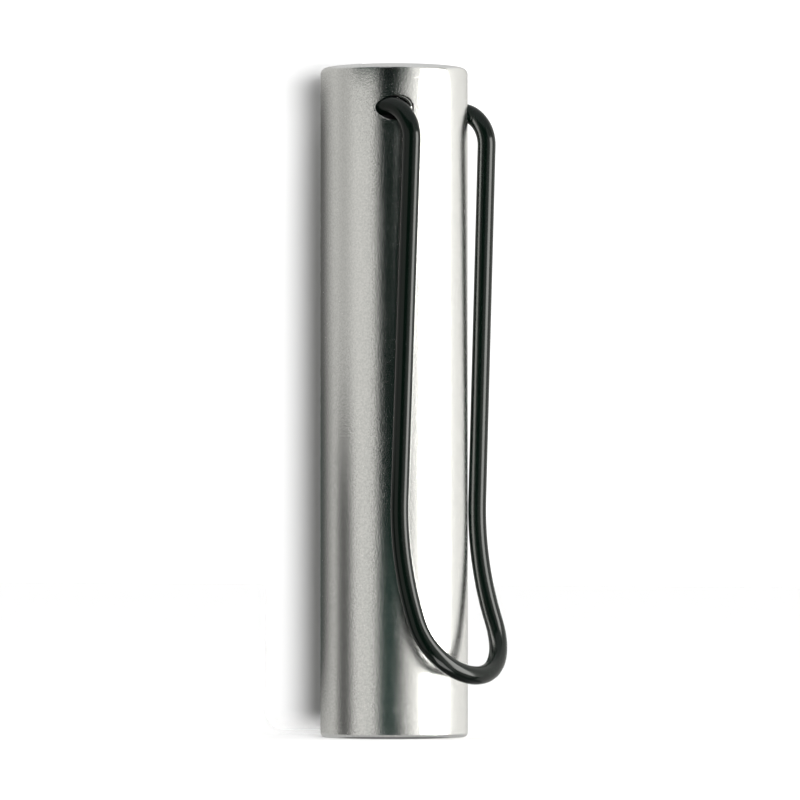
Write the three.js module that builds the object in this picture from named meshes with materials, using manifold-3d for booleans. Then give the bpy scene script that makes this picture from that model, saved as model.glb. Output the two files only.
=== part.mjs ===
// A pocket lead holder: a short drop-clutch holder for 5.6 mm leads, with a spring-wire clip.
// Millimetres, +Z up. It stands on its nose rim, and the clip is on the -Y side.
// Every turned piece shares the barrel's axis. The whole group is moved at the end, so that
// the origin is at the centre of the bottom of the holder's box.
import * as THREE from "three";
import { mergeVertices } from "three/addons/utils/BufferGeometryUtils.js";
import Module from "manifold-3d";

// ---- driving dimensions ----

// barrel
const barrelDiameter = 13;
const barrelLength = 59;
const barrelWall = 0.75;
const topRimRound = 0.5;
const noseRimRound = 0.4;
const innerEdgeBreak = 0.15;

// wire clip: its legs lean towards the barrel, touch it, then flare out into the loop; the
// hooks close in through the holes, so that the tails clear the barrel's bore
const wireDiameter = 1.6;
const clipHoleClearance = 0.53;
const clipHoleBelowTop = 3.93;
const clipHoleOffset = 4.85;
const hookAboveHole = 0.22;
const legSpreadAtLoop = 5.32;
const legSpreadAtHook = 5.16;
const clipLean = THREE.MathUtils.degToRad(2.23);
const hookBendRadius = 3.03;
const flareRadius = 26.5;
const flareTurn = THREE.MathUtils.degToRad(35.35);
const loopHeight = 5.54;
const clipTouchGap = 0.08;
const tailBendRadius = 1.6;
const tailLength = 1.6;
const tailReach = 1.0;
const tailOffset = 4.6;
const tailDip = 0.15; // extra depth for the tail, which dips when the clip is lifted

// lead and its tube
const leadDiameter = 5.6;
const leadLength = 43;
const leadTipDiameter = 1;
const leadTipAngle = THREE.MathUtils.degToRad(28);
const leadTubeWall = 0.4;
const leadClearance = 0.15;

// clutch
const buttonTravel = 2.4;
const jawCount = 4;
const jawSlot = 0.4;
const jawLeafThickness = 0.7;
const jawHeadLip = 1.1;
const jawRecess = 0.8;
const jawGrip = 0.05;
const coneSpread = 0.2;
const coneFlare = 0.7;
const coneClearance = 0.08;
const coneLength = 3.3;
const jawPivotHeight = 12.15;
const colletTop = 19.95;

// inner stack, from the nose up
const noseBushRecess = 0.5;
const noseMouthWall = 0.6;
const noseBoreWall = 1.1;
const guideBushHeight = 24;
const guideBushLength = 2.95;
const spacerWall = 0.6;
const stopStep = 0.35;
const washerThickness = 0.3;
const collarThickness = 1.75;
const collarClearance = 0.2;
const springWire = 0.65;
const springSideClearance = 0.275;
const springTurns = 9;

// button, anchor and end plug
const buttonShoulder = 0.35;
const buttonBelowRim = 0.2;
const buttonFlange = 0.68;
const spigotLength = 3.5;
const anchorDepth = 5.6;
const grooveSideClearance = 0.15;
const grooveDepthClearance = 0.55;
const plugBelowRim = 0.25;
const plugRingWidth = 0.6;
const plugDishDepth = 1.35;
const plugFloor = 0.75;

// fits
const bushClearance = 0.05;
const slideClearance = 0.1;
const faceGap = 0.05;

// fineness of the round shapes
const barrelSides = 48;
const innerSides = 24;
const wireSides = 10;
const wireSteps = 104;
const springSteps = 14;
const springSides = 6;

// ---- sizes that follow ----

const barrelRadius = barrelDiameter / 2;
const barrelBore = barrelRadius - barrelWall;
const stackRadius = barrelBore - bushClearance;
const wireRadius = wireDiameter / 2;
const clipHoleDiameter = wireDiameter + clipHoleClearance;
const clipHoleHeight = barrelLength - clipHoleBelowTop;
const hookHeight = clipHoleHeight + hookAboveHole;
const leadRadius = leadDiameter / 2;
const leadTubeBore = leadRadius + leadClearance;
const leadTubeRadius = leadTubeBore + leadTubeWall;
const tubePassage = leadTubeRadius + slideClearance;
const buttonRadius = leadTubeRadius - buttonShoulder;
const buttonBore = buttonRadius + slideClearance;
const grooveFloor = hookHeight - wireRadius - grooveDepthClearance;
const anchorBottom = hookHeight - anchorDepth;
const anchorTop = hookHeight + wireRadius + slideClearance * 3;
const plugTop = barrelLength - plugBelowRim;
const plugBottom = plugTop - plugDishDepth - plugFloor;
const buttonTop = barrelLength - buttonBelowRim;
const collarTop = anchorBottom - faceGap;
const collarBottom = collarTop - collarThickness;
const leadTubeTop = anchorBottom + 0.8;
const guideBushTop = guideBushHeight + guideBushLength;
const springBottom = guideBushTop + washerThickness + faceGap * 2;
const springTop = collarBottom - washerThickness - faceGap * 2;
const jawInner = leadRadius + jawGrip;
const jawLeafRadius = jawInner + jawLeafThickness;
const coneBottom = jawRecess + jawHeadLip;
const coneTop = coneBottom + coneLength;
const noseBushTop = jawPivotHeight - faceGap * 2;
const coneTopRadius = jawLeafRadius + coneClearance + coneSpread;
const coneBottomRadius = coneTopRadius + coneFlare;
const jawHeadRadius = coneBottomRadius - coneClearance;
const noseMouthRadius = stackRadius - noseMouthWall;
const noseBoreRadius = stackRadius - noseBoreWall;
const collarRoom = stackRadius - spacerWall;
const collarRadius = collarRoom - collarClearance;
const springRoom = collarRoom - stopStep;
const stopHeight = collarBottom - buttonTravel - faceGap;
const springMeanRadius = springRoom - springSideClearance - springWire / 2;
const washerRadius = springRoom - springSideClearance / 2;

// ---- helpers ----

const wasm = await Module();
wasm.setup();

// A closed geometry as a solid that can be cut.
function toSolid(geometry) {
  const bare = geometry.clone();
  bare.deleteAttribute("normal");
  bare.deleteAttribute("uv");
  const merged = mergeVertices(bare, 1e-5);
  return new wasm.Manifold(new wasm.Mesh({
    numProp: 3,
    vertProperties: new Float32Array(merged.attributes.position.array),
    triVerts: new Uint32Array(merged.index.array),
  }));
}

function toGeometry(solid) {
  const mesh = solid.getMesh();
  const geometry = new THREE.BufferGeometry();
  geometry.setAttribute("position", new THREE.BufferAttribute(mesh.vertProperties, 3));
  geometry.setIndex(new THREE.BufferAttribute(mesh.triVerts, 1));
  geometry.computeVertexNormals();
  return geometry;
}

// A body turned about Z from a closed outline of [radius, height] points, listed
// anticlockwise with the radius to the right.
function turned(outline, sides = innerSides) {
  const points = [...outline, outline[0]].map(([radius, height]) => new THREE.Vector2(radius, height));
  return new THREE.LatheGeometry(points, sides).rotateX(Math.PI / 2);
}

// A plain turned sleeve between two heights.
function sleeve(innerRadius, outerRadius, bottom, top) {
  return turned([[innerRadius, bottom], [outerRadius, bottom], [outerRadius, top], [innerRadius, top]]);
}

// The points of a rounded corner, from one direction to another, in degrees.
function roundCorner(radius, height, round, from, to, steps = 4) {
  const points = [];
  for (let step = 0; step <= steps; step += 1) {
    const angle = THREE.MathUtils.degToRad(from + ((to - from) * step) / steps);
    points.push([radius + round * Math.cos(angle), height + round * Math.sin(angle)]);
  }
  return points;
}

function boxBetween(low, high) {
  const size = high.map((value, axis) => value - low[axis]);
  const middle = high.map((value, axis) => (value + low[axis]) / 2);
  return new THREE.BoxGeometry(...size).translate(...middle);
}

const finishes = {
  satinAluminium: { color: 0xb9b8b2, roughness: 0.35, metalness: 1 },
  turnedAluminium: { color: 0xc9c9c6, roughness: 0.25, metalness: 1 },
  blackWire: { color: 0x0c0f0d, roughness: 0.15, metalness: 0.3 },
  blackAcetal: { color: 0x17181a, roughness: 0.5, metalness: 0 },
  brass: { color: 0xb5924c, roughness: 0.3, metalness: 1 },
  steel: { color: 0x8c8d8f, roughness: 0.3, metalness: 1 },
  graphite: { color: 0x2b2b2d, roughness: 0.45, metalness: 0.2 },
};

const holder = new THREE.Group();

function addPart(name, geometry, finish) {
  const mesh = new THREE.Mesh(geometry, new THREE.MeshStandardMaterial(finishes[finish]));
  mesh.name = name;
  holder.add(mesh);
  return mesh;
}

// ---- barrel ----

function makeBarrel() {
  const top = barrelLength;
  const tube = toSolid(turned([
    [barrelBore, innerEdgeBreak],
    [barrelBore + innerEdgeBreak, 0],
    ...roundCorner(barrelRadius - noseRimRound, noseRimRound, noseRimRound, -90, 0),
    ...roundCorner(barrelRadius - topRimRound, top - topRimRound, topRimRound, 0, 90),
    [barrelBore + innerEdgeBreak, top],
    [barrelBore, top - innerEdgeBreak],
  ], barrelSides));
  const holes = [-clipHoleOffset, clipHoleOffset].map((offset) => {
    const drill = new THREE.CylinderGeometry(clipHoleDiameter / 2, clipHoleDiameter / 2, barrelRadius, 20);
    return toSolid(drill.translate(offset, -barrelRadius / 2 - 1, clipHoleHeight));
  });
  return toGeometry(holes.reduce((body, hole) => body.subtract(hole), tube));
}

// ---- wire clip ----

// Half of the clip's side profile, from the middle of the loop to the end of the tail, as
// straight and round stretches. turn is positive where the wire bends inwards, to the holes.
function clipStretches() {
  const flareLean = flareTurn - clipLean;
  const hookTurn = Math.PI / 2 + clipLean;
  const flareRise = flareRadius * (Math.sin(flareLean) + Math.sin(clipLean));
  const hookRise = hookBendRadius * (1 + Math.sin(clipLean));
  const legLength = (hookHeight - hookRise - loopHeight - flareRise) / Math.cos(clipLean);
  const hookEnd = legOut() + legLength * Math.sin(clipLean) - hookBendRadius * Math.cos(clipLean);
  return [
    { length: flareRadius * flareTurn, turn: -flareTurn },
    { length: legLength, turn: 0 },
    { length: hookBendRadius * hookTurn, turn: hookTurn },
    { length: hookEnd + tailReach - tailBendRadius, turn: 0 },
    { length: (tailBendRadius * Math.PI) / 2, turn: Math.PI / 2 },
    { length: tailLength, turn: 0 },
  ];
}

// How far in front of the axis the legs are where they pass the barrel most closely.
function legTouch() {
  const clear = barrelRadius + wireRadius + clipTouchGap;
  return Math.sqrt(clear * clear - legSpreadAtLoop * legSpreadAtLoop);
}

// The same at the foot of the straight leg.
function legOut() {
  return legTouch() + flareRadius * (1 - Math.cos(clipLean));
}

class ClipRoute extends THREE.Curve {
  constructor() {
    super();
    this.stretches = clipStretches();
    const profileLength = this.stretches.reduce((sum, stretch) => sum + stretch.length, 0);
    this.loopQuarter = (legSpreadAtLoop * Math.PI) / 2;
    this.halfLength = this.loopQuarter + profileLength - legSpreadAtLoop;
  }

  // The distance in front of the axis and the height, at a distance along the profile.
  profileAt(distance) {
    const flareLean = flareTurn - clipLean;
    let heading = Math.PI / 2 + flareLean;
    let out = legTouch() + flareRadius * (1 - Math.cos(flareLean));
    let height = loopHeight;
    let left = distance;
    // heading turns from "up and inwards" to "straight in", then down
    for (const { length, turn } of this.stretches) {
      const part = Math.min(left, length);
      const angle = (turn * part) / length;
      if (turn === 0) {
        out += part * Math.cos(heading);
        height += part * Math.sin(heading);
      } else {
        const radius = length / turn;
        out += radius * (Math.sin(heading + angle) - Math.sin(heading));
        height -= radius * (Math.cos(heading + angle) - Math.cos(heading));
      }
      heading += angle;
      left -= part;
    }
    return { out, height };
  }

  // How far each leg is from the middle, at a distance along the profile.
  spreadAt(along) {
    const [flare, leg, bend, hook, tailBend] = this.stretches.map((stretch) => stretch.length);
    const climb = THREE.MathUtils.clamp((along - flare) / leg, 0, 1);
    const closing = THREE.MathUtils.smoothstep(along, flare + leg, flare + leg + bend + hook + tailBend);
    const legSpread = THREE.MathUtils.lerp(legSpreadAtLoop, legSpreadAtHook, climb);
    return THREE.MathUtils.lerp(legSpread, tailOffset, closing);
  }

  getPoint(t, target = new THREE.Vector3()) {
    const signed = (2 * t - 1) * this.halfLength;
    const side = Math.sign(signed);
    const distance = Math.abs(signed);
    if (distance < this.loopQuarter) {
      const angle = distance / legSpreadAtLoop;
      const { out, height } = this.profileAt(legSpreadAtLoop * (1 - Math.cos(angle)));
      return target.set(side * legSpreadAtLoop * Math.sin(angle), -out, height);
    }
    const along = legSpreadAtLoop + distance - this.loopQuarter;
    const { out, height } = this.profileAt(along);
    return target.set(side * this.spreadAt(along), -out, height);
  }
}

function makeClip() {
  const section = new THREE.Shape();
  for (let side = 0; side < wireSides; side += 1) {
    const angle = (2 * Math.PI * side) / wireSides;
    const point = [wireRadius * Math.cos(angle), wireRadius * Math.sin(angle)];
    if (side === 0) section.moveTo(...point);
    else section.lineTo(...point);
  }
  return new THREE.ExtrudeGeometry(section, { steps: wireSteps, extrudePath: new ClipRoute() });
}

// ---- top end ----

function makeAnchor() {
  const flangeRoom = leadTubeTop + buttonFlange + slideClearance * 3;
  let body = toSolid(turned([
    [tubePassage, anchorBottom],
    [stackRadius, anchorBottom],
    [stackRadius, anchorTop],
    [buttonBore, anchorTop],
    [buttonBore, flangeRoom],
    [tubePassage, flangeRoom],
  ]));
  const inner = tailOffset - wireRadius - grooveSideClearance;
  const back = tailReach + wireRadius + grooveDepthClearance;
  const tailFoot = hookHeight - tailBendRadius - tailLength;
  const tailFloor = tailFoot - grooveDepthClearance - tailDip;
  const tailFront = tailReach - wireRadius - grooveDepthClearance;
  for (const side of [-1, 1]) {
    const across = [side * inner, side * barrelRadius].sort((a, b) => a - b);
    const groove = boxBetween([across[0], -barrelRadius, grooveFloor], [across[1], back, anchorTop + 1]);
    const pocket = boxBetween([across[0], tailFront, tailFloor], [across[1], back, anchorTop + 1]);
    body = body.subtract(toSolid(groove)).subtract(toSolid(pocket));
  }
  return toGeometry(body);
}

function makeEndPlug() {
  const dishEdge = stackRadius - plugRingWidth;
  const dishFloor = plugTop - plugDishDepth;
  return turned([
    [buttonBore, plugBottom],
    [stackRadius, plugBottom],
    [stackRadius, plugTop],
    [dishEdge, plugTop],
    [(dishEdge + buttonBore) / 2 + 0.25, plugTop - plugDishDepth * 0.72],
    [buttonBore + 0.5, dishFloor],
    [buttonBore, dishFloor],
  ]);
}

function makeButton() {
  const spigot = leadTubeBore - bushClearance;
  const flange = leadTubeRadius;
  const flangeBottom = leadTubeTop + faceGap;
  return turned([
    [0, flangeBottom - spigotLength],
    [spigot, flangeBottom - spigotLength],
    [spigot, flangeBottom],
    [flange, flangeBottom],
    [flange, flangeBottom + buttonFlange],
    [buttonRadius, flangeBottom + buttonFlange],
    [buttonRadius, buttonTop - 0.5],
    [buttonRadius - 0.35, buttonTop - 0.12],
    [buttonRadius - 0.9, buttonTop],
    [0, buttonTop],
  ]);
}

// ---- inner stack ----

class SpringRoute extends THREE.Curve {
  getPoint(t, target = new THREE.Vector3()) {
    const angle = t * springTurns * 2 * Math.PI;
    const rise = springTop - springBottom - springWire;
    return target.set(
      springMeanRadius * Math.cos(angle),
      springMeanRadius * Math.sin(angle),
      springBottom + springWire / 2 + rise * t,
    );
  }
}

function makeSpring() {
  const section = new THREE.Shape();
  for (let side = 0; side < springSides; side += 1) {
    const angle = (2 * Math.PI * side) / springSides;
    const point = [(springWire / 2) * Math.cos(angle), (springWire / 2) * Math.sin(angle)];
    if (side === 0) section.moveTo(...point);
    else section.lineTo(...point);
  }
  return new THREE.ExtrudeGeometry(section, {
    steps: springTurns * springSteps,
    extrudePath: new SpringRoute(),
  });
}

// Its inner step stops the collar at the end of the button's travel.
function makeUpperSpacer() {
  const top = anchorBottom - faceGap;
  const bottom = guideBushTop + faceGap;
  return turned([
    [springRoom, bottom],
    [stackRadius, bottom],
    [stackRadius, top],
    [collarRoom, top],
    [collarRoom, stopHeight],
    [springRoom, stopHeight],
  ]);
}

function makeNoseBush() {
  return turned([
    [noseMouthRadius, noseBushRecess],
    [stackRadius - 0.2, noseBushRecess],
    [stackRadius, noseBushRecess + 0.2],
    [stackRadius, noseBushTop],
    [noseBoreRadius, noseBushTop],
    [noseBoreRadius, coneTop + faceGap],
    [noseMouthRadius, coneTop + faceGap],
  ]);
}

function makeConeRing() {
  const outer = noseMouthRadius - bushClearance;
  return turned([
    [coneBottomRadius, coneBottom],
    [outer, coneBottom],
    [outer, coneTop],
    [coneTopRadius, coneTop],
  ]);
}

// The four jaws are cut from one turned collet head, whose cone follows the cone ring.
function jawBlank() {
  const coneHigh = coneTopRadius - coneClearance;
  return toSolid(turned([
    [jawInner + 0.3, jawRecess],
    [jawHeadRadius - 0.35, jawRecess],
    [jawHeadRadius, jawRecess + 0.3],
    [coneBottomRadius - coneClearance, coneBottom],
    [coneHigh, coneTop],
    [jawLeafRadius, coneTop + (coneHigh - jawLeafRadius)],
    [jawLeafRadius, jawPivotHeight],
    [jawInner, jawPivotHeight],
    [jawInner, jawRecess + 0.3],
  ]));
}

function makeJaw(index) {
  const reach = barrelRadius * 2;
  const edge = jawSlot / Math.SQRT2;
  const corner = new THREE.Shape([
    new THREE.Vector2(edge, 0),
    new THREE.Vector2(edge + reach, reach),
    new THREE.Vector2(edge + reach, -reach),
  ]);
  const wedge = new THREE.ExtrudeGeometry(corner, { depth: jawPivotHeight * 2, bevelEnabled: false });
  wedge.translate(0, 0, -1).rotateZ((2 * Math.PI * index) / jawCount);
  return toGeometry(jawBlank().intersect(toSolid(wedge)));
}

function makeLead() {
  const tipBottom = jawRecess + 0.1;
  const tipRadius = leadTipDiameter / 2;
  const tipTop = tipBottom + (leadRadius - tipRadius) / Math.tan(leadTipAngle);
  const top = tipBottom + leadLength;
  return turned([
    [0, tipBottom],
    [tipRadius, tipBottom],
    [leadRadius, tipTop],
    [leadRadius, top - 0.2],
    [leadRadius - 0.2, top],
    [0, top],
  ]);
}

// ---- assembly ----

addPart("barrel_tube", makeBarrel(), "satinAluminium");
addPart("pocket_clip", makeClip(), "blackWire");
addPart("clip_anchor", makeAnchor(), "blackAcetal");
addPart("end_plug", makeEndPlug(), "blackAcetal");
addPart("push_button", makeButton(), "turnedAluminium");
const tubeSize = [leadTubeBore, leadTubeRadius];
addPart("lead_tube", sleeve(...tubeSize, colletTop + faceGap, leadTubeTop), "brass");
const collarBore = leadTubeRadius + bushClearance;
addPart("stop_collar", sleeve(collarBore, collarRadius, collarBottom, collarTop), "brass");
addPart(
  "upper_spring_washer",
  sleeve(collarBore, washerRadius, springTop + faceGap, collarBottom - faceGap),
  "steel",
);
addPart("return_spring", makeSpring(), "steel");
addPart(
  "lower_spring_washer",
  sleeve(tubePassage, washerRadius, guideBushTop + faceGap, springBottom - faceGap),
  "steel",
);
addPart("guide_bush", sleeve(tubePassage, stackRadius, guideBushHeight, guideBushTop), "blackAcetal");
addPart("upper_spacer", makeUpperSpacer(), "turnedAluminium");
addPart(
  "lower_spacer",
  sleeve(collarRoom, stackRadius, noseBushTop + faceGap, guideBushHeight - faceGap),
  "turnedAluminium",
);
addPart("nose_bush", makeNoseBush(), "blackAcetal");
addPart("cone_ring", makeConeRing(), "steel");
addPart("collet_body", sleeve(jawInner, leadTubeRadius, jawPivotHeight + faceGap, colletTop), "brass");
for (let index = 0; index < jawCount; index += 1) {
  addPart(`collet_jaw_${index + 1}`, makeJaw(index), "brass");
}
addPart("lead", makeLead(), "graphite");

// The origin goes to the centre of the bottom of the box.
const box = new THREE.Box3().setFromObject(holder);
const middle = box.getCenter(new THREE.Vector3());
holder.position.set(-middle.x, -middle.y, -box.min.z);

export default holder;
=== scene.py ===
from math import cos, pi, radians, sin, sqrt, tan

import bmesh
import bpy
from mathutils import Matrix, Vector


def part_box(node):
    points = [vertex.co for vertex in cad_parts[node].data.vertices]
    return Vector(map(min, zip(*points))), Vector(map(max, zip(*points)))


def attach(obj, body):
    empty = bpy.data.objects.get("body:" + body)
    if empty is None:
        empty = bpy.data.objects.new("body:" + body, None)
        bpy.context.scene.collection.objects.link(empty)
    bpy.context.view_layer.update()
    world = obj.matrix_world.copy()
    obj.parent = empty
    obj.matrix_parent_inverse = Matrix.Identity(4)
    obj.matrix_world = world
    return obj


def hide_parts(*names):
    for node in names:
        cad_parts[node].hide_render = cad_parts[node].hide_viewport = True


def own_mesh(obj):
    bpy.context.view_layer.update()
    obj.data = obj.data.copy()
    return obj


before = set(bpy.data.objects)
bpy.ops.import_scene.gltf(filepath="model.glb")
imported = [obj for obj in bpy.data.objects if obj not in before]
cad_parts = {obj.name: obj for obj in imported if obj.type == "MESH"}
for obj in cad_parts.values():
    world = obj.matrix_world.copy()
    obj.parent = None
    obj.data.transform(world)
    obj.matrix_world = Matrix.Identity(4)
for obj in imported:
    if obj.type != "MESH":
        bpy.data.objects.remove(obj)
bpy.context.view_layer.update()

# pocket lead holder: satin tube, black wire clip and the drop clutch inside it
mm = 0.001
scene = bpy.context.scene

barrelLow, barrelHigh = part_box("barrel_tube")
barrelRadius = (barrelHigh.x - barrelLow.x) / 2
barrelLength = barrelHigh.z
axisX = (barrelLow.x + barrelHigh.x) / 2
axisY = (barrelLow.y + barrelHigh.y) / 2
axisFoot = Vector((axisX, axisY, 0))
viewAngle = radians(-50)  # the clip faces 50 degrees to the right of the view
toCamera = Vector((sin(viewAngle), -cos(viewAngle), 0))
toRight = Vector((cos(viewAngle), sin(viewAngle), 0))


# a socket that can be written in sums
class Signal:
    def __init__(self, tree, socket):
        self.tree = tree
        self.socket = socket

    def sum(self, operation, first, second=0.0):
        return self.tree.node("ShaderNodeMath", {"operation": operation}, {0: first, 1: second})

    def __add__(self, other):
        return self.sum("ADD", self, other)

    def __sub__(self, other):
        return self.sum("SUBTRACT", self, other)

    def __rsub__(self, other):
        return self.sum("SUBTRACT", other, self)

    def __mul__(self, other):
        return self.sum("MULTIPLY", self, other)

    def __truediv__(self, other):
        return self.sum("DIVIDE", self, other)

    def __pow__(self, other):
        return self.sum("POWER", self, other)

    __radd__ = __add__
    __rmul__ = __mul__


# the nodes of one material or world
class Tree:
    def __init__(self, nodeTree):
        self.nodeTree = nodeTree
        nodeTree.nodes.clear()

    # a node: its settings first, then the values or links of its sockets
    def node(self, kind, settings=None, sockets=None, output=0):
        made = self.nodeTree.nodes.new(kind)
        for name, value in (settings or {}).items():
            if name == "stops":
                self.setStops(made.color_ramp, value)
            else:
                setattr(made, name, value)
        for name, value in (sockets or {}).items():
            if isinstance(value, Signal):
                self.nodeTree.links.new(value.socket, made.inputs[name])
            else:
                made.inputs[name].default_value = value
        if not made.outputs:
            return made
        return Signal(self, made.outputs[output])

    def setStops(self, ramp, stops):
        while len(ramp.elements) < len(stops):
            ramp.elements.new(1.0)
        for element, (place, colour) in zip(ramp.elements, stops):
            element.position = place
            element.color = (*colour, 1.0) if len(colour) == 3 else colour

    def ramp(self, value, stops):
        return self.node("ShaderNodeValToRGB", {"stops": stops}, {0: value})

    # 0 at the low value and 1 at the high one, eased between; low may lie above high
    def spread(self, value, low, high):
        sockets = {0: value, 1: low, 2: high}
        return self.node("ShaderNodeMapRange", {"interpolation_type": "SMOOTHSTEP"}, sockets)

    def mixColour(self, factor, first, second):
        sockets = {0: factor, 6: first, 7: second}
        return self.node("ShaderNodeMix", {"data_type": "RGBA"}, sockets, output=2)

    def noise(self, where, scale, detail=2.0, roughness=0.5):
        sockets = {"Vector": where, "Scale": scale, "Detail": detail, "Roughness": roughness}
        return self.node("ShaderNodeTexNoise", {}, sockets)

    def bump(self, height, distance, strength=1.0):
        sockets = {"Height": height, "Distance": distance, "Strength": strength}
        return self.node("ShaderNodeBump", {}, sockets)

    # object coordinates, measured from the foot of the barrel's axis
    def place(self):
        where = self.node("ShaderNodeTexCoord", output=3)
        return self.node("ShaderNodeMapping", {}, {"Vector": where, "Location": -axisFoot})

    # the same with its three parts and the distance from the axis
    def places(self):
        where = self.place()
        x, y, z = (self.node("ShaderNodeSeparateXYZ", {}, {0: where}, output=i) for i in range(3))
        return where, x, y, z, (x * x + y * y) ** 0.5


def newFinish(name, **constants):
    material = bpy.data.materials.new(name)
    material.use_nodes = True
    tree = Tree(material.node_tree)
    shader = material.node_tree.nodes.new("ShaderNodeBsdfPrincipled")
    output = material.node_tree.nodes.new("ShaderNodeOutputMaterial")
    material.node_tree.links.new(shader.outputs[0], output.inputs["Surface"])
    for socket, value in constants.items():
        shader.inputs[socket.replace("_", " ")].default_value = value
    return material, tree, shader


def feed(tree, shader, **signals):
    for socket, signal in signals.items():
        tree.nodeTree.links.new(signal.socket, shader.inputs[socket.replace("_", " ")])


# blasted aluminium with a fine grain; lighter, smoother metal at the rims, and round each hole edge a
# lighter ring that is partly a worn bare edge and partly a painted highlight of the edge's rounding
satin = {
    "light": (0.83, 0.83, 0.815, 1), "dark": (0.735, 0.74, 0.725, 1), "roughness": 0.19,
    "grain": 5600, "grainDepth": 0.012 * mm, "blast": 17000, "blastDepth": 0.009 * mm, "cloud": 260,
    "brightEdge": (0.87, 0.87, 0.86, 1), "rimBand": 0.55 * mm, "holeHighlightBand": (0.22 * mm, 0.08 * mm),
}


def makeSatinAluminium(name, holeAxes=()):
    material, tree, shader = newFinish(name, Metallic=1.0)
    where, x, y, z, radius = tree.places()
    grain = tree.noise(where, satin["grain"], 2.0, 0.5)
    blast = tree.noise(where, satin["blast"], 1.0, 0.5)
    cloud = tree.noise(where, satin["cloud"], 3.0, 0.5)
    topRim = tree.spread(z, barrelLength - satin["rimBand"], barrelLength - satin["rimBand"] * 0.3)
    noseRim = tree.spread(z, satin["rimBand"] * 0.8, satin["rimBand"] * 0.2)
    lightRimsAndHoleHighlight = topRim + noseRim
    # painted highlight: a lighter, smoother ring round each hole edge on the clip side, partly a worn
    # bare edge
    for holeX, holeZ, holeRadius in holeAxes:
        away = ((x - holeX) ** 2.0 + (z - holeZ) ** 2.0) ** 0.5
        holeHighlight = tree.spread(away, *(holeRadius + band for band in satin["holeHighlightBand"]))
        lightRimsAndHoleHighlight = lightRimsAndHoleHighlight + holeHighlight * tree.spread(y, 0.0, -0.5 * mm)
    lightRimsAndHoleHighlight = tree.node("ShaderNodeClamp", {}, {0: lightRimsAndHoleHighlight})
    speck = tree.spread(grain, 0.34, 0.66)
    colour = tree.mixColour(speck * 0.8 + cloud * 0.2, satin["light"], satin["dark"])
    # mixes in the lighter edge colour at the rims and the painted highlight round the holes
    bright = tree.mixColour(lightRimsAndHoleHighlight * 0.6, colour, satin["brightEdge"])
    rough = satin["roughness"] + (grain - 0.5) * 0.10 + (cloud - 0.5) * 0.05 - lightRimsAndHoleHighlight * 0.07
    coarse = tree.bump(grain, satin["grainDepth"], 1.0)
    fine = tree.bump(blast, satin["blastDepth"], 1.0)
    tree.nodeTree.links.new(coarse.socket, fine.socket.node.inputs["Normal"])
    feed(tree, shader, Base_Color=bright, Roughness=rough, Normal=fine)
    return material


wireFinish = {"colour": (0.0016, 0.0042, 0.0028, 1), "worn": (0.006, 0.009, 0.007, 1)}


def makeBlackWire():
    material, tree, shader = newFinish(
        "blackWireLacquer", IOR=1.33, Coat_Weight=0.04, Coat_Roughness=0.03, Coat_IOR=1.5)
    where = tree.place()
    peel = tree.noise(where, 900, 2.0, 0.5)  # the soft unevenness of a dipped lacquer
    dust = tree.noise(where, 7000, 2.0, 0.6)
    streak = tree.node("ShaderNodeMapping", {}, {"Vector": where, "Scale": (1.0, 1.0, 0.06)})
    drawn = tree.noise(streak, 5200, 2.0, 0.5)  # die lines along the legs
    colour = tree.mixColour(tree.spread(dust, 0.6, 0.8), wireFinish["colour"], wireFinish["worn"])
    rough = 0.10 + dust * 0.06 + drawn * 0.04
    feed(tree, shader, Base_Color=colour, Roughness=rough,
         Normal=tree.bump(peel * 0.8 + drawn * 0.15 + dust * 0.08, 0.004 * mm, 0.5))
    return material


# machined stock: fine lathe lines round the axis, some haze, and brighter edges on demand
machined = {
    "blackAcetal": {
        "colour": (0.018, 0.018, 0.020, 1), "tint": (0.030, 0.030, 0.032, 1),
        "metallic": 0.0, "roughness": 0.46, "lines": 9.0, "depth": 0.004 * mm,
    },
    "turnedAluminium": {
        "colour": (0.82, 0.82, 0.82, 1), "tint": (0.70, 0.71, 0.72, 1),
        "metallic": 1.0, "roughness": 0.22, "lines": 14.0, "depth": 0.0022 * mm,
    },
    "machinedBrass": {
        "colour": (0.76, 0.56, 0.27, 1), "tint": (0.58, 0.40, 0.18, 1),
        "metallic": 1.0, "roughness": 0.26, "lines": 11.0, "depth": 0.0025 * mm,
    },
    "hardenedSteel": {
        "colour": (0.50, 0.50, 0.51, 1), "tint": (0.36, 0.36, 0.39, 1),
        "metallic": 1.0, "roughness": 0.28, "lines": 12.0, "depth": 0.002 * mm,
    },
}


def makeMachined(name):
    look = machined[name]
    material, tree, shader = newFinish(name, Metallic=look["metallic"])
    where, x, y, z, radius = tree.places()
    wobble = tree.noise(where, 700, 2.0, 0.5)
    turns = (radius + z * 0.83) * (look["lines"] * 1000 * 2 * pi) + wobble * 5.0
    lines = tree.node("ShaderNodeMath", {"operation": "SINE"}, {0: turns})
    haze = tree.noise(where, 420, 4.0, 0.6)
    grain = tree.noise(where, 8000, 2.0, 0.6)
    colour = tree.mixColour(tree.spread(haze, 0.35, 0.7), look["colour"], look["tint"])
    rough = look["roughness"] + (haze - 0.5) * 0.16 + lines * 0.03
    feed(tree, shader, Base_Color=colour, Roughness=rough,
         Normal=tree.bump(lines * 0.35 + grain * 0.5, look["depth"], 0.7))
    return material


def makeSpringSteel():
    material, tree, shader = newFinish("springSteel", Metallic=1.0)
    where = tree.place()
    grain = tree.noise(where, 6000, 3.0, 0.6)
    blue = tree.noise(where, 300, 2.0, 0.5)
    colour = tree.mixColour(tree.spread(blue, 0.4, 0.65), (0.46, 0.46, 0.48, 1), (0.33, 0.33, 0.37, 1))
    feed(tree, shader, Base_Color=colour, Roughness=0.22 + grain * 0.16,
         Normal=tree.bump(grain, 0.002 * mm, 0.6))
    return material


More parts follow.
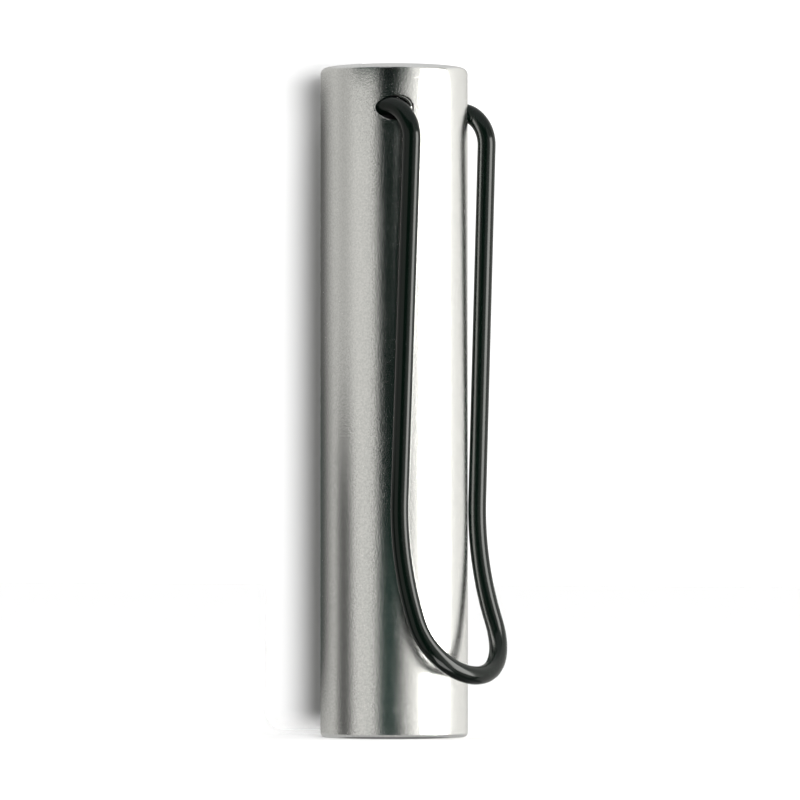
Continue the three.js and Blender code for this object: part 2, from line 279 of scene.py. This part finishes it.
def makeGraphite():
    material, tree, shader = newFinish("graphiteLead", IOR=1.9, Sheen_Weight=0.1)
    where = tree.place()
    flakes = tree.noise(where, 5200, 3.0, 0.65)
    clay = tree.noise(where, 900, 3.0, 0.55)
    streak = tree.node("ShaderNodeMapping", {}, {"Vector": where, "Scale": (1.0, 1.0, 0.04)})
    drawn = tree.noise(streak, 3600, 2.0, 0.5)  # die lines from extrusion
    colour = tree.mixColour(clay, (0.030, 0.030, 0.033, 1), (0.060, 0.060, 0.066, 1))
    feed(tree, shader, Base_Color=colour, Roughness=0.34 + flakes * 0.2,
         Metallic=0.15 + flakes * 0.45, Normal=tree.bump(flakes * 0.5 + drawn * 0.5, 0.006 * mm, 0.6))
    return material


def newPiece(name, bm, material, smoothAngle=35):
    mesh = bpy.data.meshes.new(name)
    bm.to_mesh(mesh)
    bm.free()
    piece = bpy.data.objects.new(name, mesh)
    scene.collection.objects.link(piece)
    mesh.materials.append(material)
    mesh.shade_smooth()
    mesh.set_sharp_from_angle(angle=radians(smoothAngle))
    return piece


# a shape spun round the barrel's axis; each corner is (radius, height, rounding) in millimetres
def spinShape(corners, steps):
    bm = bmesh.new()
    points = [bm.verts.new(axisFoot + Vector((r * mm, 0, z * mm))) for r, z, rounding in corners]
    closed = corners[0][0] > 0
    for first, second in zip(points, points[1:] + points[:1]):
        if closed or second is not points[0]:
            bm.edges.new((first, second))
    bmesh.ops.spin(bm, geom=bm.verts[:] + bm.edges[:], cent=axisFoot, axis=(0, 0, 1),
                   angle=2 * pi, steps=steps, use_merge=True)
    bmesh.ops.remove_doubles(bm, verts=bm.verts, dist=0.0005 * mm)
    bmesh.ops.recalc_face_normals(bm, faces=bm.faces)
    for radius, height, rounding in corners:
        if rounding > 0 and radius > 0:
            roundRing(bm, radius * mm, height * mm, rounding * mm)
    return bm


def roundRing(bm, radius, height, rounding):
    def onRing(vert):
        away = Vector((vert.co.x - axisX, vert.co.y - axisY)).length
        return abs(away - radius) < 0.001 * mm and abs(vert.co.z - height) < 0.001 * mm

    ring = [edge for edge in bm.edges if onRing(edge.verts[0]) and onRing(edge.verts[1])]
    bmesh.ops.bevel(bm, geom=ring, affect="EDGES", offset=rounding, offset_type="OFFSET",
                    segments=5, profile=0.5, material=-1, clamp_overlap=True)


def spinPiece(name, corners, material, body, slot, node, steps=144):
    piece = newPiece(name, spinShape(corners, steps), material)
    return seat(piece, body, slot, node)


def seat(piece, body, slot, *nodes):
    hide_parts(*nodes)
    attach(piece, body)
    return piece


# a round wire along a list of points, as one mesh
def wirePiece(name, points, radius, material, sides=20, closed=False):
    curve = bpy.data.curves.new(name + "Path", "CURVE")
    curve.dimensions = "3D"
    curve.bevel_depth = radius
    curve.bevel_resolution = sides // 4
    curve.use_fill_caps = True
    spline = curve.splines.new("POLY")
    spline.points.add(len(points) - 1)
    for point, place in zip(spline.points, points):
        point.co = (*place, 1)
    spline.use_cyclic_u = closed
    holder = bpy.data.objects.new(name + "Path", curve)
    scene.collection.objects.link(holder)
    bpy.context.view_layer.update()
    swept = bpy.data.meshes.new_from_object(holder.evaluated_get(bpy.context.evaluated_depsgraph_get()))
    bpy.data.objects.remove(holder)
    bm = bmesh.new()
    bm.from_mesh(swept)
    bpy.data.meshes.remove(swept)
    bmesh.ops.remove_doubles(bm, verts=bm.verts, dist=0.001 * mm)
    bmesh.ops.recalc_face_normals(bm, faces=bm.faces)
    return newPiece(name, bm, material, 50)


# the tube, in millimetres as all the dictionaries of pieces are
barrel = {
    "radius": 6.5, "length": 59.0, "wall": 0.75, "topRound": 0.5, "noseRound": 0.4,
    "innerRound": 0.15, "holeRadius": 1.01, "holeOffset": 4.83, "holeHeight": 55.09, "holeBreak": 0.1,
    "bandHalf": 1.6, "bandRows": 20, "steps": 240,
}


def makeBarrel(material):
    bore = barrel["radius"] - barrel["wall"]
    low, high = barrel["holeHeight"] - barrel["bandHalf"], barrel["holeHeight"] + barrel["bandHalf"]
    rows = [low + (high - low) * row / barrel["bandRows"] for row in range(barrel["bandRows"] + 1)]
    corners = [(bore, 0, barrel["innerRound"]), (barrel["radius"], 0, barrel["noseRound"])]
    corners += [(barrel["radius"], height, 0) for height in rows]
    corners += [(barrel["radius"], barrel["length"], barrel["topRound"]),
                (bore, barrel["length"], barrel["innerRound"])]
    corners += [(bore, height, 0) for height in reversed(rows)]
    piece = newPiece("barrelTube", spinShape(corners, barrel["steps"]), material)
    for side in (-1, 1):
        cutHole(piece, side)
    return seat(piece, "barrel", "satin_aluminium", "barrel_tube")


# drills one hole for the wire, then runs a fine round cutter along its rim to break the edge
def cutHole(piece, side):
    bm = bmesh.new()
    turn = Matrix.Rotation(pi / 2, 4, "X")
    offset, height, radius = barrel["holeOffset"], barrel["holeHeight"], barrel["holeRadius"]
    place = axisFoot + Vector((side * offset, -5.0, height)) * mm
    bmesh.ops.create_cone(bm, cap_ends=True, segments=96, radius1=radius * mm, radius2=radius * mm,
                          depth=8 * mm, matrix=Matrix.Translation(place) @ turn)
    applyCut(piece, newPiece("holeCutter", bm, piece.data.materials[0]))
    rim = []
    for step in range(96):
        angle = 2 * pi * step / 96
        across = side * offset + radius * cos(angle)
        out = sqrt(barrel["radius"] ** 2 - across ** 2)
        rim.append(axisFoot + Vector((across, -out, height + radius * sin(angle))) * mm)
    applyCut(piece, wirePiece("rimCutter", rim, barrel["holeBreak"] * mm, piece.data.materials[0],
                              12, closed=True))


def applyCut(piece, cutter):
    cut = piece.modifiers.new("cut", "BOOLEAN")
    cut.object = cutter
    cut.operation = "DIFFERENCE"
    cut.solver = "EXACT"
    bpy.context.view_layer.update()
    shaped = bpy.data.meshes.new_from_object(piece.evaluated_get(bpy.context.evaluated_depsgraph_get()))
    piece.modifiers.clear()
    piece.data = shaped
    bpy.data.objects.remove(cutter)


# the wire clip
clip = {
    "wire": 1.6, "spread": 5.32, "hookSpread": 5.16, "lean": radians(2.23), "hookBend": 3.03,
    "flareRadius": 26.5, "flareTurn": radians(35.35), "loopHeight": 5.54, "gap": 0.08,
    "hookHeight": 55.29, "tailBend": 1.6, "tailLength": 1.6, "tailReach": 1.0, "tailOffset": 4.6,
    "points": 480,
}


# straight and round stretches from the middle of the loop up to the hook, then in and down
def clipStretches(touch):
    lean, flare, bend = clip["lean"], clip["flareTurn"], clip["hookBend"]
    hookTurn = pi / 2 + lean
    flareRise = clip["flareRadius"] * (sin(flare - lean) + sin(lean))
    leg = (clip["hookHeight"] - bend * (1 + sin(lean)) - clip["loopHeight"] - flareRise) / cos(lean)
    legFoot = touch + clip["flareRadius"] * (1 - cos(lean))
    hookEnd = legFoot + leg * sin(lean) - bend * cos(lean)
    return [
        (clip["flareRadius"] * flare, -flare),
        (leg, 0),
        (bend * hookTurn, hookTurn),
        (hookEnd + clip["tailReach"] - clip["tailBend"], 0),
        (clip["tailBend"] * pi / 2, pi / 2),
        (clip["tailLength"], 0),
    ]


def clipPoint(stretches, touch, distance):
    flareLean = clip["flareTurn"] - clip["lean"]
    heading = pi / 2 + flareLean
    out = touch + clip["flareRadius"] * (1 - cos(flareLean))
    height = clip["loopHeight"]
    for length, turn in stretches:
        part = min(distance, length)
        angle = turn * part / length
        if turn == 0:
            out += part * cos(heading)
            height += part * sin(heading)
        else:
            out += (length / turn) * (sin(heading + angle) - sin(heading))
            height -= (length / turn) * (cos(heading + angle) - cos(heading))
        heading += angle
        distance -= part
    return out, height


# the legs close in a little up to the hooks, and the hooks a little more on their way in
def legSpread(stretches, along):
    flare, leg, bend, hook, tailBend = (length for length, turn in stretches[:5])
    climb = min(max((along - flare) / leg, 0), 1)
    closing = min(max((along - flare - leg) / (bend + hook + tailBend), 0), 1)
    closing = closing * closing * (3 - 2 * closing)
    spread = clip["spread"] + (clip["hookSpread"] - clip["spread"]) * climb
    return spread + (clip["tailOffset"] - spread) * closing


def clipRoute():
    clear = barrel["radius"] + clip["wire"] / 2 + clip["gap"]
    spread = clip["spread"]
    touch = sqrt(clear ** 2 - spread ** 2)
    stretches = clipStretches(touch)
    quarter = spread * pi / 2
    half = quarter + sum(length for length, turn in stretches) - spread
    points = []
    for step in range(clip["points"] + 1):
        signed = (2 * step / clip["points"] - 1) * half
        side = 1 if signed > 0 else -1
        distance = abs(signed)
        if distance < quarter:
            out, height = clipPoint(stretches, touch, spread * (1 - cos(distance / spread)))
            across = spread * sin(distance / spread)
        else:
            along = spread + distance - quarter
            out, height = clipPoint(stretches, touch, along)
            across = legSpread(stretches, along)
        points.append(axisFoot + Vector((side * across, -out, height)) * mm)
    return points


def makeClip(material):
    piece = wirePiece("pocketClip", clipRoute(), clip["wire"] / 2 * mm, material, 28)
    return seat(piece, "clip", "black_wire", "pocket_clip")


# the plug and the button in the top end
topEnd = {
    "plugRadius": 5.7, "plugTop": 58.75, "plugBottom": 56.65, "dishEdge": 5.1, "dishFloor": 57.4,
    "bore": 3.1, "buttonRadius": 3.0, "buttonTop": 58.8, "flangeBottom": 50.54,
    "flange": 3.35, "flangeDepth": 0.68, "spigot": 2.9, "spigotLength": 3.5,
}


def makeEndPlug(material):
    top, low = topEnd["plugTop"], topEnd["dishFloor"]
    edge, bore = topEnd["dishEdge"], topEnd["bore"]
    corners = [
        (bore, topEnd["plugBottom"], 0.08),
        (topEnd["plugRadius"], topEnd["plugBottom"], 0.15),
        (topEnd["plugRadius"], top, 0.12),
        (edge, top, 0.12),
        ((edge + bore) / 2 + 0.25, top - (top - low) * 0.72, 0.35),
        (bore + 0.5, low, 0.3),
        (bore, low, 0.06),
    ]
    return spinPiece("endPlug", corners, material, "barrel", "black_acetal", "end_plug")


def makeButton(material):
    foot, top = topEnd["flangeBottom"], topEnd["buttonTop"]
    flange, radius, spigot = topEnd["flange"], topEnd["buttonRadius"], topEnd["spigot"]
    corners = [
        (0, foot - topEnd["spigotLength"], 0),
        (spigot, foot - topEnd["spigotLength"], 0.2),
        (spigot, foot, 0),
        (flange, foot, 0.06),
        (flange, foot + topEnd["flangeDepth"], 0.06),
        (radius, foot + topEnd["flangeDepth"], 0),
        (radius, top - 0.05, 0.3),
        (radius - 0.75, top, 0),
        (radius - 1.05, top, 0.05),
        (radius - 1.2, top - 0.1, 0.05),
        (0, top - 0.1, 0),
    ]
    return spinPiece("pushButton", corners, material, "plunger", "turned_aluminium", "push_button")


# the block that holds the turned-in ends of the wire
anchor = {
    "radius": 5.7, "bottom": 49.69, "top": 56.39, "bore": 3.1, "counterbore": 3.45,
    "flangeRoom": 51.47, "grooveInner": 3.65, "grooveFloor": 53.94, "grooveBack": 2.35,
    "pocketFront": -0.35, "pocketFloor": 51.39,
}


def makeAnchor(material):
    corners = [
        (anchor["counterbore"], anchor["bottom"], 0.08),
        (anchor["radius"], anchor["bottom"], 0.2),
        (anchor["radius"], anchor["top"], 0.2),
        (anchor["bore"], anchor["top"], 0.08),
        (anchor["bore"], anchor["flangeRoom"], 0),
        (anchor["counterbore"], anchor["flangeRoom"], 0),
    ]
    piece = newPiece("clipAnchor", spinShape(corners, 120), material)
    for side in (-1, 1):
        cutBlock(piece, side, -7.0, anchor["grooveFloor"])
        cutBlock(piece, side, anchor["pocketFront"], anchor["pocketFloor"])
    return seat(piece, "barrel", "black_acetal", "clip_anchor")


def cutBlock(piece, side, front, floor):
    low = Vector((anchor["grooveInner"], front, floor))
    high = Vector((7.0, anchor["grooveBack"], anchor["top"] + 1))
    size, middle = high - low, (high + low) / 2
    middle.x *= side
    bm = bmesh.new()
    bmesh.ops.create_cube(bm, size=mm, matrix=Matrix.Translation(axisFoot + middle * mm)
                          @ Matrix.Diagonal((*size, 1)))
    cutter = newPiece("blockCutter", bm, piece.data.materials[0])
    applyCut(piece, cutter)


# sleeves and washers that share the bore
stack = {
    "radius": 5.7, "room": 5.1, "springRoom": 4.75, "tubeOuter": 3.35, "tubeBore": 2.95, "stop": 45.39,
}


def sleeveCorners(inner, outer, bottom, top, rounding=0.06):
    return [(inner, bottom, rounding), (outer, bottom, rounding),
            (outer, top, rounding), (inner, top, rounding)]


def makeStack(finish):
    tube, bore = stack["tubeOuter"], stack["tubeBore"]
    passage, rim = tube + 0.1, stack["radius"]
    stop, room, springRoom = stack["stop"], stack["room"], stack["springRoom"]
    # piece, node, inner and outer radius, bottom, top, finish, slot, body
    sleeves = [
        ("leadTube", "lead_tube", bore, tube, 20.0, 50.49, "machinedBrass", "brass", "plunger"),
        ("stopCollar", "stop_collar", 3.4, 4.9, 47.89, 49.64, "machinedBrass", "brass", "plunger"),
        ("upperSpringWasher", "upper_spring_washer", 3.4, 4.6125, 47.54, 47.84,
         "hardenedSteel", "steel", "plunger"),
        ("lowerSpringWasher", "lower_spring_washer", passage, 4.6125, 27.0, 27.3,
         "hardenedSteel", "steel", "barrel"),
        ("guideBush", "guide_bush", passage, rim, 24.0, 26.95, "blackAcetal", "black_acetal", "barrel"),
        ("lowerSpacer", "lower_spacer", room, rim, 12.1, 23.95,
         "turnedAluminium", "turned_aluminium", "barrel"),
        ("colletBody", "collet_body", 2.85, tube, 12.2, 19.95, "machinedBrass", "brass", "plunger"),
    ]
    for name, node, inner, outer, bottom, top, look, slot, body in sleeves:
        spinPiece(name, sleeveCorners(inner, outer, bottom, top), finish[look], body, slot, node, 112)
    corners = [
        (springRoom, 27.0, 0.06), (rim, 27.0, 0.06), (rim, 49.64, 0.06),
        (room, 49.64, 0.06), (room, stop, 0), (springRoom, stop, 0.06),
    ]
    spinPiece("upperSpacer", corners, finish["turnedAluminium"], "barrel",
              "turned_aluminium", "upper_spacer", 112)


spring = {"wire": 0.65, "mean": 4.15, "turns": 11, "deadTurns": 1.0, "pointsPerTurn": 36}


def makeSpring(material):
    low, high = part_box("return_spring")
    rise = high.z - low.z - spring["wire"] * mm
    turns, dead = spring["turns"], spring["deadTurns"]
    count = int(turns * spring["pointsPerTurn"])
    closedRise = dead * spring["wire"] * mm
    points = []
    for step in range(count + 1):
        turned = turns * step / count
        fromTop = turns - turned
        if turned < dead:
            lift = turned * spring["wire"] * mm
        elif fromTop < dead:
            lift = rise - fromTop * spring["wire"] * mm
        else:
            share = (turned - dead) / (turns - 2 * dead)
            lift = closedRise + (rise - 2 * closedRise) * share
        angle = 2 * pi * turned
        flat = Vector((cos(angle), sin(angle), 0)) * spring["mean"] * mm
        points.append(axisFoot + flat + Vector((0, 0, low.z + spring["wire"] * mm / 2 + lift)))
    piece = wirePiece("returnSpring", points, spring["wire"] / 2 * mm, material, 12)
    seat(piece, "barrel", "steel", "return_spring")
    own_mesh(piece)
    return piece


# the nose: bush, cone ring, jaws and the lead
nose = {
    "mouth": 5.1, "bore": 4.6, "recess": 0.5, "bushTop": 12.05, "coneBottom": 1.9, "coneTop": 5.2,
    "coneLow": 4.53, "coneHigh": 3.83, "coneGap": 0.08, "jawInner": 2.85, "jawLeaf": 3.55,
    "jawFoot": 0.8, "pivot": 12.15, "slot": 0.4, "lead": 2.8, "tipFoot": 0.9, "tipRadius": 0.5,
    "tipAngle": radians(28), "leadLength": 43,
}


def makeNose(finish):
    rim = stack["radius"]
    shelf = nose["coneTop"] + 0.05
    bush = [
        (nose["mouth"], nose["recess"], 0.15), (rim, nose["recess"], 0.25), (rim, nose["bushTop"], 0.1),
        (nose["bore"], nose["bushTop"], 0.1), (nose["bore"], shelf, 0), (nose["mouth"], shelf, 0),
    ]
    spinPiece("noseBush", bush, finish["blackAcetal"], "barrel", "black_acetal", "nose_bush")
    ring = [
        (nose["coneLow"], nose["coneBottom"], 0.08), (nose["mouth"] - 0.05, nose["coneBottom"], 0.08),
        (nose["mouth"] - 0.05, nose["coneTop"], 0.08), (nose["coneHigh"], nose["coneTop"], 0.06),
    ]
    spinPiece("coneRing", ring, finish["hardenedSteel"], "barrel", "steel", "cone_ring")
    for index in range(4):
        makeJaw(index, finish["machinedBrass"])
    makeLead(finish["graphite"])


def makeJaw(index, material):
    high = nose["coneHigh"] - nose["coneGap"]
    low = nose["coneLow"] - nose["coneGap"]
    corners = [
        (nose["jawInner"], nose["jawFoot"], 0.25), (low, nose["jawFoot"], 0.25),
        (low, nose["coneBottom"], 0.05), (high, nose["coneTop"], 0.05),
        (nose["jawLeaf"], nose["coneTop"] + high - nose["jawLeaf"], 0.1),
        (nose["jawLeaf"], nose["pivot"], 0), (nose["jawInner"], nose["pivot"], 0),
    ]
    bm = spinShape(corners, 128)
    facing = 2 * pi * index / 4
    for side in (-1, 1):
        edge = facing + side * pi / 4
        outward = Vector((-sin(edge), cos(edge), 0)) * side
        trimAt(bm, axisFoot - outward * nose["slot"] / 2 * mm, outward)
    bmesh.ops.recalc_face_normals(bm, faces=bm.faces)
    piece = newPiece(f"colletJaw{index + 1}", bm, material)
    edges = piece.modifiers.new("brokenEdges", "BEVEL")
    edges.width = 0.05 * mm
    edges.segments = 2
    edges.limit_method = "ANGLE"
    edges.angle_limit = radians(50)
    return seat(piece, f"jaw_{index + 1}", "brass", f"collet_jaw_{index + 1}")


# cuts away what lies beyond a plane and closes the cut
def trimAt(bm, place, outward):
    geometry = bm.verts[:] + bm.edges[:] + bm.faces[:]
    bmesh.ops.bisect_plane(bm, geom=geometry, dist=0.0001 * mm, plane_co=place, plane_no=outward,
                           clear_outer=True)
    rims = [edge for edge in bm.edges if edge.is_boundary]
    bmesh.ops.holes_fill(bm, edges=rims, sides=0)


def makeLead(material):
    foot, radius, tip = nose["tipFoot"], nose["lead"], nose["tipRadius"]
    shoulder = foot + (radius - tip) / tan(nose["tipAngle"])
    top = foot + nose["leadLength"]
    corners = [
        (0, foot, 0), (tip, foot, 0.12), (radius, shoulder, 0.1), (radius, top, 0.15), (0, top, 0),
    ]
    return spinPiece("graphiteLead", corners, material, "lead", "graphite", "lead")


# the floor and the sheet
stageLook = {
    "floorHalf": 1.4, "floorTone": 0.86, "sheetTone": 0.80, "sheetTurn": radians(8),
    "sheetBehind": 0.12 * mm, "sheetFrom": -12.8 * mm, "sheetTo": -2 * mm, "sheetTop": 63 * mm,
    "fadeLow": (-0.7 * mm, 2.5 * mm), "fadeHigh": (57 * mm, 62.2 * mm),
    "fadeSide": (9.6 * mm, 12.6 * mm),
}


def flatCard(name, corners, material):
    bm = bmesh.new()
    bm.faces.new([bm.verts.new(corner) for corner in corners])
    return stageMesh(name, bm, material)


def stageMesh(name, bm, material):
    mesh = bpy.data.meshes.new(name)
    bm.to_mesh(mesh)
    bm.free()
    card = bpy.data.objects.new(name, mesh)
    scene.collection.objects.link(card)
    mesh.materials.append(material)
    return card


# lets the view through where the mask is 1, so that a stage surface never hides the holder
def clearWhere(material, tree, shader, mask):
    clear = tree.node("ShaderNodeBsdfTransparent")
    output = material.node_tree.nodes["Material Output"]
    front = Signal(tree, shader.outputs[0])
    mixed = tree.node("ShaderNodeMixShader", {}, {0: mask, 1: front, 2: clear})
    tree.nodeTree.links.new(mixed.socket, output.inputs["Surface"])


def makeFloor():
    material, tree, shader = newFinish("paleFloor", Roughness=0.9, Specular_IOR_Level=0.2)
    where = tree.node("ShaderNodeTexCoord", output=3)
    fibre = tree.noise(where, 900, 3.0, 0.6)
    tone = stageLook["floorTone"]
    shade = tree.mixColour(fibre, (tone, tone, tone, 1), (tone * 0.98, tone * 0.98, tone * 0.975, 1))
    feed(tree, shader, Base_Color=shade)
    clearWhere(material, tree, shader, tree.node("ShaderNodeNewGeometry", output="Backfacing"))
    half = stageLook["floorHalf"]
    corners = [(-half, -half, 0), (half, -half, 0), (half, half, 0), (-half, half, 0)]
    floor = flatCard("paleFloor", corners, material)
    floor.visible_glossy = False  # the tube mirrors the studio, not the table
    floor.visible_diffuse = False
    floor.visible_shadow = False


# a white sheet close behind the holder takes its soft shadow; it shows from its front only, and
# is turned a little so that it also drops out of the side views
def makeSheet():
    material, tree, shader = newFinish("whiteSheet", Roughness=0.95, Specular_IOR_Level=0.1)
    tone = stageLook["sheetTone"]
    shader.inputs["Base Color"].default_value = (tone, tone, tone, 1)
    behind = tree.node("ShaderNodeNewGeometry", output="Backfacing")
    where, x, y, z, radius = tree.places()
    ends = tree.spread(z, stageLook["fadeLow"][0], stageLook["fadeLow"][1])
    ends = ends * tree.spread(z, stageLook["fadeHigh"][1], stageLook["fadeHigh"][0])
    sockets = {0: where, 1: tuple(-toRight)}
    outwards = tree.node("ShaderNodeVectorMath", {"operation": "DOT_PRODUCT"}, sockets, output=1)
    ends = ends * tree.spread(outwards, stageLook["fadeSide"][1], stageLook["fadeSide"][0])
    clearWhere(material, tree, shader, 1.0 - ends * (1.0 - behind))
    turn = stageLook["sheetTurn"]
    facing = toCamera * cos(turn) + toRight * sin(turn)
    along = toRight * cos(turn) - toCamera * sin(turn)
    middle = axisFoot - facing * (barrelRadius + stageLook["sheetBehind"])
    left, right = middle + along * stageLook["sheetFrom"], middle + along * stageLook["sheetTo"]
    up = Vector((0, 0, stageLook["sheetTop"]))
    sheet = flatCard("whiteSheet", [left, right, right + up, left + up], material)
    sheet.visible_diffuse = False
    sheet.visible_glossy = False
    sheet.visible_transmission = False
    sheet.visible_shadow = False


# what the bright surfaces mirror: a drum of cards round the holder, seen in reflections only.
# Levels run by compass angle from the camera, positive to the right
drum = {
    "radius": 62 * mm, "bottom": -45 * mm, "top": 96 * mm, "brightest": 12.0,
    "level": [
        (-180, 0.55), (-166, 0.50), (-140, 0.55), (-112, 0.56), (-60, 0.71), (-45, 0.68), (-32, 0.665),
        (-25.5, 0.60), (-23.5, 0.04), (0, 0.03), (7, 0.08), (12, 0.27), (19, 0.59), (30, 0.97),
        (40, 1.12), (47, 1.5), (53, 12.0), (77, 12.0), (81, 1.8), (96, 1.04), (112, 0.95), (135, 0.90),
        (150, 0.72), (165, 0.60), (180, 0.55),
    ],
    # angle from, angle to, softness, height from, height to, softness, share of the light kept
    "shades": [
        (-98, -64, 5, -90, 28, 7, 0.17),
        (-98, -62, 10, 16, 200, 10, 0.76),
        (-27, 9, 4, 9, 200, 4, 0.22),
        (-215, -98, 46, -6, 68, 10, 0.22),
        (-225, -92, 46, -7, 40, 14, 0.72),
        (-70, 30, 8, 67, 200, 3, 0.08),
        (44, 92, 4, 69, 200, 3, 0.07),
        (44, 92, 4, -90, -10, 3, 0.07),
    ],
    "overhead": 0.68, "underfoot": 0.18,
}


# an empty material for a card that only glows
def newGlow(name):
    material = bpy.data.materials.new(name)
    material.use_nodes = True
    material.cycles.emission_sampling = "NONE"
    return material, Tree(material.node_tree)


def glow(tree, colour, strength):
    light = tree.node("ShaderNodeEmission", {}, {"Color": colour, "Strength": strength})
    tree.node("ShaderNodeOutputMaterial", {}, {"Surface": light})


def seenInGlossOnly(card):
    card.visible_camera = False
    card.visible_diffuse = False
    card.visible_transmission = False
    card.visible_shadow = False
    card.visible_volume_scatter = False


def makeDrum():
    material, tree = newGlow("drumCards")
    where, x, y, z, radius = tree.places()

    def along(direction):
        sockets = {0: where, 1: tuple(direction)}
        return tree.node("ShaderNodeVectorMath", {"operation": "DOT_PRODUCT"}, sockets, output=1)

    right, front = along(toRight), along(toCamera)
    angle = tree.node("ShaderNodeMath", {"operation": "ARCTAN2"}, {0: right, 1: front}) * (180 / pi)
    stops = [(turn / 360 + 0.5, (level / drum["brightest"],) * 3) for turn, level in drum["level"]]
    level = tree.ramp(angle / 360 + 0.5, stops)
    level = tree.node("ShaderNodeSeparateColor", {}, {0: level}) * drum["brightest"]
    for left, rightEnd, soft, low, high, fade, kept in drum["shades"]:
        across = tree.spread(angle, left, left + soft) * tree.spread(angle, rightEnd, rightEnd - soft)
        upward = tree.spread(z, low * mm, (low + fade) * mm)
        upward = upward * tree.spread(z, high * mm, (high - fade) * mm)
        level = level * (1.0 - across * upward * (1 - kept))
    tint = tree.mixColour(tree.spread(level, 0.015, 0.11), (0.45, 1.2, 0.95, 1), (1.01, 1.0, 0.965, 1))
    glow(tree, tint, level)
    bm = bmesh.new()
    height = drum["top"] - drum["bottom"]
    middle = axisFoot + Vector((0, 0, (drum["top"] + drum["bottom"]) / 2))
    bmesh.ops.create_cone(bm, cap_ends=False, segments=96, radius1=drum["radius"],
                          radius2=drum["radius"], depth=height, matrix=Matrix.Translation(middle))
    seenInGlossOnly(stageMesh("drumCards", bm, material))


# a small card low in front, mirrored by the underside of the loop
lowCard = {"right": (-4, 14), "front": (18, 40), "height": -16, "glow": 6.0}


def makeLowCard():
    material, tree = newGlow("lowCard")
    glow(tree, (1.0, 1.0, 0.97, 1), lowCard["glow"])
    corners = [axisFoot + (toRight * across + toCamera * out + Vector((0, 0, lowCard["height"]))) * mm
               for out, ends in zip(lowCard["front"], (1, -1)) for across in lowCard["right"][::ends]]
    seenInGlossOnly(flatCard("lowCard", corners, material))


# a grey ring below the nose keeps the low card out of the rim
rimGuard = {"radius": 12, "depth": 8, "drop": 5.6, "glow": 0.5}


def makeRimGuard():
    material, tree = newGlow("rimGuard")
    glow(tree, (1.0, 1.0, 0.98, 1), rimGuard["glow"])
    bm = bmesh.new()
    radius, drop = rimGuard["radius"] * mm, Vector((0, 0, rimGuard["drop"] * mm))
    bmesh.ops.create_cone(bm, cap_ends=False, segments=64, radius1=radius, radius2=radius,
                          depth=rimGuard["depth"] * mm, matrix=Matrix.Translation(axisFoot - drop))
    seenInGlossOnly(stageMesh("rimGuard", bm, material))


# the open studio: white to the camera, bright overhead for the floor, plain above and below the drum
studio = {"fill": 0.02, "overhead": 3.6, "from": radians(48), "full": radians(62), "backdrop": 1.2}


def makeStudio():
    world = bpy.data.worlds.new("studioLight")
    world.use_nodes = True
    scene.world = world
    tree = Tree(world.node_tree)
    towards = tree.node("ShaderNodeTexCoord", output="Generated")
    up = tree.node("ShaderNodeSeparateXYZ", {}, {0: towards}, output=2)
    above = tree.spread(up, sin(studio["from"]), sin(studio["full"]))
    fill = studio["fill"] + above * studio["overhead"]
    mirrored = drum["underfoot"] + tree.spread(up, -0.1, 0.1) * (drum["overhead"] - drum["underfoot"])
    glossy = tree.node("ShaderNodeLightPath", output="Is Glossy Ray")
    camera = tree.node("ShaderNodeLightPath", output="Is Camera Ray")
    unseen = fill * (1.0 - glossy) + mirrored * glossy
    strength = unseen * (1.0 - camera) + camera * studio["backdrop"]
    background = tree.node("ShaderNodeBackground", {}, {"Color": (1, 1, 1, 1), "Strength": strength})
    tree.node("ShaderNodeOutputWorld", {}, {"Surface": background})
    world.cycles.sampling_method = "NONE"


# the soft key from the right of the camera that throws the shadow
keyLight = {"across": radians(15.5), "lift": radians(2), "distance": 0.25, "size": 0.118, "watts": 0.8}


def makeKeyLight():
    light = bpy.data.lights.new("keyLight", "AREA")
    light.shape = "DISK"
    light.size = keyLight["size"]
    light.energy = keyLight["watts"]
    holder = bpy.data.objects.new("keyLight", light)
    scene.collection.objects.link(holder)
    target = axisFoot + Vector((0, 0, barrelLength / 2))
    across, lift = keyLight["across"], keyLight["lift"]
    flat = toCamera * cos(across) + toRight * sin(across)
    direction = flat * cos(lift) + Vector((0, 0, sin(lift)))
    holder.location = target + direction * keyLight["distance"]
    holder.rotation_euler = direction.to_track_quat("Z", "Y").to_euler()
    holder.visible_camera = False
    holder.visible_glossy = False


shot = {"distance": 0.5, "height": 17.1 * mm, "aim": 29.7 * mm, "aside": 0.52 * mm, "lens": 254.9}


def makeCamera():
    data = bpy.data.cameras.new("camera")
    data.lens = shot["lens"]
    data.sensor_width = 36
    data.clip_start, data.clip_end = 0.01, 10
    camera = bpy.data.objects.new("camera", data)
    scene.collection.objects.link(camera)
    camera.location = axisFoot + toCamera * shot["distance"] + Vector((0, 0, shot["height"]))
    target = axisFoot + toRight * shot["aside"] + Vector((0, 0, shot["aim"]))
    camera.rotation_euler = (target - camera.location).to_track_quat("-Z", "Y").to_euler()
    scene.camera = camera


makeCamera()
scene.view_settings.view_transform = "Standard"
print("camera set")

holes = [(side * barrel["holeOffset"] * mm, barrel["holeHeight"] * mm, barrel["holeRadius"] * mm)
         for side in (-1, 1)]
finish = {name: makeMachined(name) for name in machined}
finish["graphite"] = makeGraphite()
print("finishes mixed")

makeBarrel(makeSatinAluminium("satinAluminium", holes))
makeClip(makeBlackWire())
print("barrel and clip made")

makeEndPlug(finish["blackAcetal"])
makeButton(finish["turnedAluminium"])
makeAnchor(finish["blackAcetal"])
makeStack(finish)
makeSpring(makeSpringSteel())
makeNose(finish)
print("clutch made")

makeFloor()
makeSheet()
makeDrum()
makeLowCard()
makeRimGuard()
makeStudio()
makeKeyLight()
print("stage lit")
